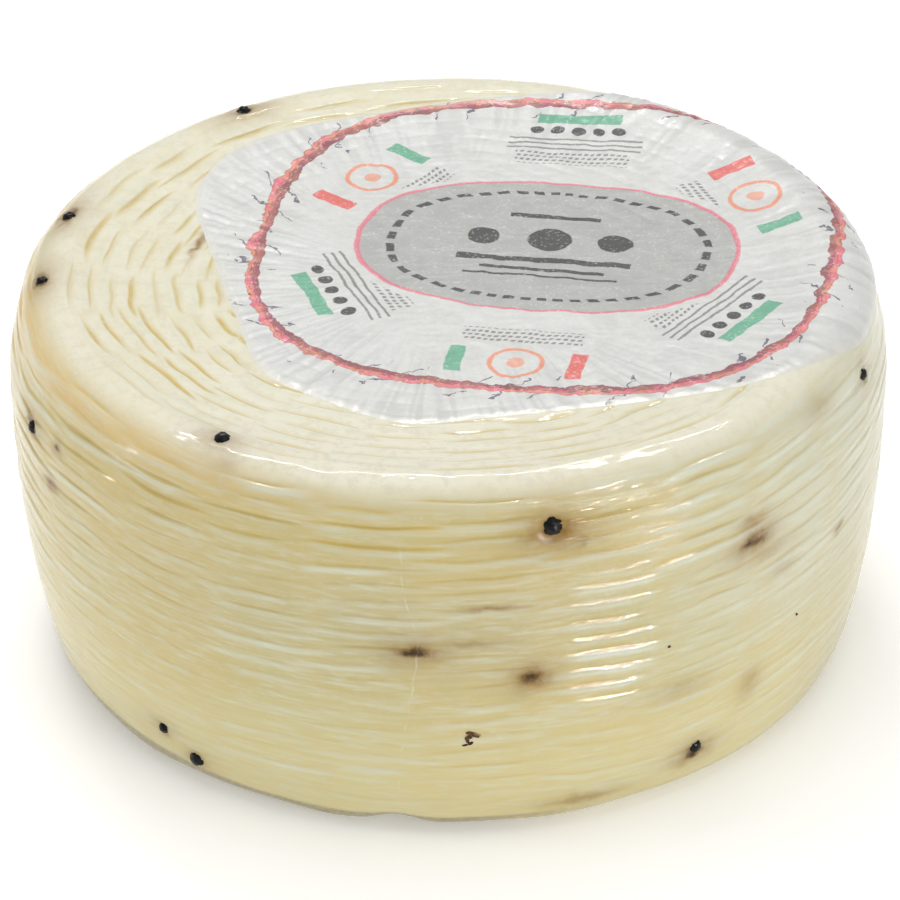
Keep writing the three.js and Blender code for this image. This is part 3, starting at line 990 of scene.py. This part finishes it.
def paper_wrinkles(x, y, azimuth, way, share, marks):
    """Folds that run out to the edge, crumples, and the rind's rings under the paper."""
    turn = azimuth / 360
    skew = 0.8 * noise(x / 14, y / 14, 30.0)
    fine = sharp(noise(turn * 250 + skew, way / 13, 34.0, 250))
    fan = fine + 0.7 * sharp(noise(turn * 110 + skew, way / 18, 31.0, 110))
    crumple = sharp(noise(x / 5, y / 7, 32.0)) + 0.6 * sharp(noise(x / 2.6, y / 2.1, 33.0))
    outer = smooth(0.5, 0.9, share)[:, None] * np.ones_like(way)
    folds = 0.14 * fan * outer + (0.1 - 0.05 * outer) * crumple
    rings = 0.1 * marks["crease"] + 0.07 * marks["hollow"] + 0.05 * marks["swell"]
    return folds - rings, 0.17 * fine * outer + 0.05 * crumple


def with_underside(rings):
    """The upper side's rings, then some of them again from the edge inwards."""
    return np.concatenate([rings, rings[::-LABEL_THINNING]])


def make_label():
    """A closed sheet over the top, its grid running out from the label's middle."""
    outline = label_outline(LABEL_SPOKES)
    centre = np.array(LABEL_CENTRE)
    share = np.linspace(0, 1, LABEL_RINGS + 1)[1:] ** 0.85
    flat = centre + share[:, None, None] * (outline - centre)
    x, y = flat[..., 0], flat[..., 1]
    azimuth, way = np.arctan2(y, x), np.hypot(x, y)
    degrees = np.degrees(azimuth)
    marks = basket_marks(degrees, way)
    wrinkles, folds = paper_wrinkles(x, y, degrees, way, share, marks)
    radius = np.interp(way, WAYS, SECTION[:, 0])
    rind = -rind_depth(degrees, way, radius, marks)
    near_edge = smooth(0.972, 1.0, share)[:, None]
    lift = PAPER_TOP + np.clip(wrinkles, -0.25, 0.3)
    lift = lift * (1 - near_edge) + (rind - 0.05) * near_edge
    upper = on_rind(azimuth, way, lift)
    lower = on_rind(azimuth, way, PAPER_UNDER + (rind - 0.3) * near_edge)
    rings = np.concatenate([upper, lower[::-LABEL_THINNING]])
    spot = math.atan2(centre[1], centre[0]), math.hypot(*centre)
    points = capped(rings, on_rind(*spot, PAPER_TOP), on_rind(*spot, PAPER_UNDER))
    faces = ring_grid(len(rings), LABEL_SPOKES)
    label = mesh_object("label_paper", points, *faces, label_material())
    add_field(label, "flat_x", capped(with_underside(x), centre[0], centre[0]))
    add_field(label, "flat_y", capped(with_underside(y), centre[1], centre[1]))
    edge = share[:, None] * np.ones(LABEL_SPOKES)
    add_field(label, "edge", capped(with_underside(edge)))
    add_field(label, "fold", capped(with_underside(folds)))
    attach(label, "root")
    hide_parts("label")


# Printed colours, the paper's own tones, and a painted shade for its folds.
PAPER = srgb(212, 212, 209)
PAPER_DAMP = srgb(208, 207, 201)
# Paler paper: rubbed print, and painted highlight on the crests of the folds.
PAPER_RUBBED_AND_GLINT = srgb(228, 227, 224)
PAPER_PAINTED_SHADE = srgb(205, 205, 206)
ROSE = srgb(226, 104, 124)
ORANGE = srgb(232, 142, 104)
PLUM = srgb(92, 44, 66)
VIOLET = srgb(78, 62, 96)
PANEL_GREY = srgb(176, 177, 173)
INK = srgb(44, 43, 42)
RULE_GREY = srgb(96, 96, 92)
GREEN = srgb(84, 168, 132)
RED = srgb(222, 84, 74)

# The printed design, in millimetres from its own middle.
DESIGN_CENTRE = (19.5, 12.0)
DESIGN_TURN = math.radians(-9)
BORDER_HALF = (56.0, 53.5)
BORDER_ROUNDNESS = 2.7
PANEL_HALF = (37.0, 24.5)
PANEL_ROUNDNESS = 2.4
BLUR = 0.14  # softness of a printed edge


def rounded(x, y, half, roundness):
    """1 on a rounded figure's edge, less inside."""
    across = (x / half[0]).abs().power(roundness)
    along = (y / half[1]).abs().power(roundness)
    return (across + along).power(1 / roundness)


def inside(distance):
    """Ink coverage where a signed distance in millimetres is below 0."""
    return 1 - distance.ramp(-BLUR, BLUR)


def bar(x, y, middle, half):
    """A rectangle; middle and half are (x, y)."""
    return inside(((x - middle[0]).abs() - half[0]).max((y - middle[1]).abs() - half[1]))


def disc(x, y, middle, radius):
    dx, dy = x - middle[0], y - middle[1]
    return inside((dx * dx + dy * dy).sqrt() - radius)


def dashes(x, period, share):
    """Repeats along x: inked for a share of each period."""
    return inside(x.wrap(-period / 2, period / 2).abs() - period * share / 2)


def border_print(colour, x, y, angle):
    """A bramble of rose and orange strands, its shaded side plum, with leaf-tipped spurs."""
    place = coordinates()
    uneven = noise_node(place, 260, 3) - 0.5
    tone = noise_node(place, 150, 3)
    off = (rounded(x, y, BORDER_HALF, BORDER_ROUNDNESS) - 1) * 55 + uneven * 3.2
    along = angle * 55
    ahead = new_node("CombineXYZ")
    link(along.socket, ahead.inputs["X"])
    link(off.socket, ahead.inputs["Y"])
    strand = noise_node(ahead.outputs[0], 1.0, 3, 0.6, (0.45, 1.9, 1))
    wide = 0.75 + (tone - 0.3) * 1.5
    rose = mix((strand + uneven * 0.7).ramp(0.42, 0.56), ROSE, ORANGE)
    band = inside(off.abs() - wide - strand * 0.5)
    shade = (strand - (off - 0.5) * 0.16 + uneven * 0.5).ramp(0.5, 0.62) * (0.35 + tone)
    rims = inside((off.abs() - wide - 0.15).abs() - strand * 0.24)
    swing = (along * 0.62 + uneven * 9).sin()
    lean = (along + uneven * 5).wrap(-3.6, 3.6) + off * 0.7
    length = off * swing - 2.4 - uneven * 1.6
    spurs = inside(lean.abs() - 0.2) * inside(length) * inside(0 - off * swing)
    leaf = (lean / 0.45) * (lean / 0.45) + (length / 0.8) * (length / 0.8)
    spurs = spurs.max(inside(leaf - 1))
    return laid_over(colour, [(spurs * 0.85, VIOLET), (band * 0.92, rose),
                              (band * shade * 0.75, PLUM), (rims * 0.35, PLUM)])


def panel_print(colour, x, y, angle, oval):
    """Grey oval with a wreath of short dashes round three dark discs and plain bars."""
    to_rim = (oval - 1) * 28
    ink = inside(((oval - 0.83) * 28).abs() - 0.6) * dashes(angle * 28, 4.19, 0.62)
    for middle, radius in (((-13, 2.5), 3.3), ((0, 2.5), 4.3), ((13, 2.5), 3.3)):
        ink = ink.max(disc(x, y, middle, radius))
    for middle, half in (((0, 11.4), (9, 0.7)), ((0, -5.6), (17, 0.9)), ((0, -9.2), (12, 0.55)),
                         ((0, -11.6), (15, 0.35))):
        ink = ink.max(bar(x, y, middle, half))
    return laid_over(colour, [(inside(to_rim), PANEL_GREY),
                              (inside(to_rim.abs() - 0.4) * 0.8, ROSE), (ink * 0.93, INK)])


def sector_prints(colour, radius, angle, oval):
    """Six blocks round the panel: a green bar over dots and rules, or a ring between flags,
    each over stitched rows."""
    sixth = math.pi / 3
    local = (angle - sixth / 2).wrap(-sixth / 2, sixth / 2)
    kind = (angle * 3).sin().ramp(-0.01, 0.01)
    out, side = radius * local.cos(), radius * local.sin()
    lines = 1 - kind
    green = bar(side, out, (0, 48.6), (8.5, 1.5)) * lines
    dots = disc(side.wrap(-2.1, 2.1), out, (0, 44.6), 1.35)
    dots = dots * bar(side, out, (0, 44.6), (10.5, 2)) * lines
    ruled = bar(side, out, (0, 40.2), (13.5, 2.5)) * dashes(out - 0.6, 1.7, 0.34) * lines
    stitched = bar(side, out, (0, 34.6), (11.5, 2.6)) * dashes(out, 1.45, 0.5)
    stitched = stitched * dashes(side + out * 0.4, 1.3, 0.62)
    ruled = ruled.max(stitched * (1 - inside((oval - 1.07) * 28)))
    ring_middle = (0, 44.2)
    ring = disc(side, out, ring_middle, 5.4) - disc(side, out, ring_middle, 4.5)
    ring = ring.max(disc(side, out, ring_middle, 1.7) * 0.8) * kind
    flag_green = bar(side, out, (-11.5, 44.2), (1.6, 4.6)) * kind
    flag_red = bar(side, out, (11.5, 44.2), (1.6, 4.6)) * kind
    return laid_over(colour, [
        (green.max(flag_green) * 0.9, GREEN), (dots * 0.95, INK), (ruled * 0.75, RULE_GREY),
        (ring * 0.9, ORANGE), (flag_red * 0.9, RED),
    ])


def label_material():
    material, shader = new_material("label")
    place = coordinates()
    x0, y0 = attribute("flat_x") - DESIGN_CENTRE[0], attribute("flat_y") - DESIGN_CENTRE[1]
    wobble_x = (noise_node(place, 150, 3) - 0.5) * 1.8
    wobble_y = (noise_node(place, 161, 3) - 0.5) * 1.8
    c, s = math.cos(DESIGN_TURN), math.sin(DESIGN_TURN)
    x = x0 * c + y0 * s + wobble_x
    y = y0 * c - x0 * s + wobble_y
    radius = (x * x + y * y).sqrt()
    angle = Value.math("ARCTAN2", y, x)

    damp = noise_node(place, 60, 4, 0.6)
    crumple = noise_node(place, 700, 4, 0.65)
    fold = attribute("fold") * 4
    paper = mix(damp.ramp(0.35, 0.7) * 0.4, PAPER, PAPER_DAMP)
    printed = border_print(paper, x, y, angle)
    oval = rounded(x, y, PANEL_HALF, PANEL_ROUNDNESS)
    printed = panel_print(printed, x, y, angle, oval)
    printed = sector_prints(printed, radius, angle, oval)
    # Rubbed print, and painted highlight whitening the crests of the folds.
    rubbed_and_crest_glint = (noise_node(place, 1500, 3, 0.6) + fold * 0.14).ramp(0.56, 0.72)
    colour = mix(rubbed_and_crest_glint * 0.4, printed, PAPER_RUBBED_AND_GLINT)
    # Painted shade, multiplied into the paper's crumples and fold hollows.
    shaded = (0.45 - crumple * 0.7 - fold * 0.6).ramp(-0.1, 0.4)
    colour = mix(shaded * 0.3, colour, PAPER_PAINTED_SHADE, "MULTIPLY")
    fade = (attribute("edge") + (crumple - 0.5) * 0.03).ramp(0.955, 0.995)
    # The paper's edge fades into the top's paste, painted sheen and all.
    colour = mix(fade * 0.35, colour, PASTE_TOP_PAINTED_SHEEN)
    link(colour, shader.inputs["Base Color"])
    set_inputs(shader, {"Roughness": 0.5, "Coat Weight": 0.4, "Coat Roughness": 0.2})
    bump(shader, crumple, 0.4, 0.25 * MM, ("Normal", "Coat Normal"))
    return material


# ---- light and floor
WORLD_STRENGTH = 0.43
FLOOR_HALF = 9000.0
GLEAM_DISTANCE = 900
GLEAM_STEP = 4  # degrees between the lamps of a row
GLEAM_LENGTH = 60  # of each lamp of a row
# The beams of a row of lamps are this narrow, so that they miss the flat top.
BEAM = math.radians(5.4)

# Soft boxes light the paste: name, azimuth, elevation, distance, size, power.
SOFT_BOXES = [
    ("front_box", -92, 24, 1200, (800, 500), 0.8),
    ("right_box", -46, 16, 900, (360, 240), 1.3),
    ("left_box", -174, 24, 900, (240, 160), 0.6),
    ("back_box", 106, 52, 1100, (500, 400), 3.6),
]
# Rows of beams gleam on one patch of the side: name, azimuth, elevation, the lamps' height,
# power, place of the patch, lamps.
GLEAM_ROWS = [
    ("right_high_gleam", -46, 27, 18, 1.3, (30, -79, 46), 7),
    ("right_middle_gleam", -46, 17, 14, 1.0, (30, -79, 41), 7),
    ("right_low_gleam", -46, 8, 30, 2.4, (30, -79, 35), 7),
    ("left_gleam", -174, 14, 12, 0.9, (-57, -63, 50), 3),
]


def polar(azimuth, elevation, distance):
    a, e = math.radians(azimuth), math.radians(elevation)
    return (distance * math.cos(e) * math.cos(a), distance * math.cos(e) * math.sin(a),
            distance * math.sin(e))


def area_light(name, place, size, power, target=(0, 0, 40), soft=True):
    """A soft box that lights the paste, or a narrow lamp that only gleams on the coating."""
    data = bpy.data.lights.new(name, "AREA")
    data.shape = "RECTANGLE" if soft else "ELLIPSE"
    data.size = size[0] * MM
    data.size_y = size[1] * MM
    data.energy = power
    light = bpy.data.objects.new(name, data)
    light.location = Vector(place) * MM
    aim = (Vector(target) - Vector(place)).to_track_quat("-Z", "Y")
    light.rotation_euler = aim.to_euler()
    light.visible_glossy = not soft
    light.visible_diffuse = soft
    scene.collection.objects.link(light)
    return data


def gleam_row(name, azimuth, elevation, height, power, target, count):
    """A row of narrow beams, all on one patch of the side; the outer ones are weaker."""
    for number in range(count):
        step = number - (count - 1) / 2
        place = polar(azimuth + GLEAM_STEP * step, elevation, GLEAM_DISTANCE)
        share = power * (1 - (2 * step / (count + 1)) ** 2) * BEAM ** 2 / 7
        size = (GLEAM_LENGTH, height)
        lamp = area_light(f"{name}_{number}", place, size, share, target, soft=False)
        lamp.shape = "RECTANGLE"
        lamp.spread = BEAM


def make_light():
    world = bpy.data.worlds.new("studio")
    world.use_nodes = True
    background = world.node_tree.nodes["Background"]
    set_inputs(background, {"Color": (1, 1, 1, 1), "Strength": WORLD_STRENGTH})
    scene.world = world
    for name, azimuth, elevation, distance, size, power in SOFT_BOXES:
        area_light(name, polar(azimuth, elevation, distance), size, power)
    area_light("overhead_box", (0, 0, 1250), (1000, 1000), 6.1)
    over_right = polar(-46, 46, GLEAM_DISTANCE)
    area_light("right_top_gleam", over_right, (440, 22), 1.8, soft=False)
    for row in GLEAM_ROWS:
        gleam_row(*row)
    behind = polar(93, 66, GLEAM_DISTANCE)
    area_light("shoulder_gleam", behind, (860, 60), 6.5, soft=False)


def make_floor():
    material, shader = new_material("floor")
    grain = noise_node(coordinates(), 6, 2)
    colour = mix(grain, (0.93, 0.93, 0.93), (0.96, 0.96, 0.96))
    link(colour, shader.inputs["Base Color"])
    set_inputs(shader, {"Roughness": 0.8, "Emission Color": (1, 1, 1, 1),
                        "Emission Strength": 0.23})
    half = FLOOR_HALF
    points = [[-half, -half, 0], [half, -half, 0], [half, half, 0], [-half, half, 0]]
    floor = mesh_object("floor", points, np.array([[0, 1, 2, 3]]), np.zeros((0, 3), int), material)


make_camera()
make_wheel()
make_peppercorns()
make_label()
make_light()
make_floor()
scene.view_settings.view_transform = "Standard"
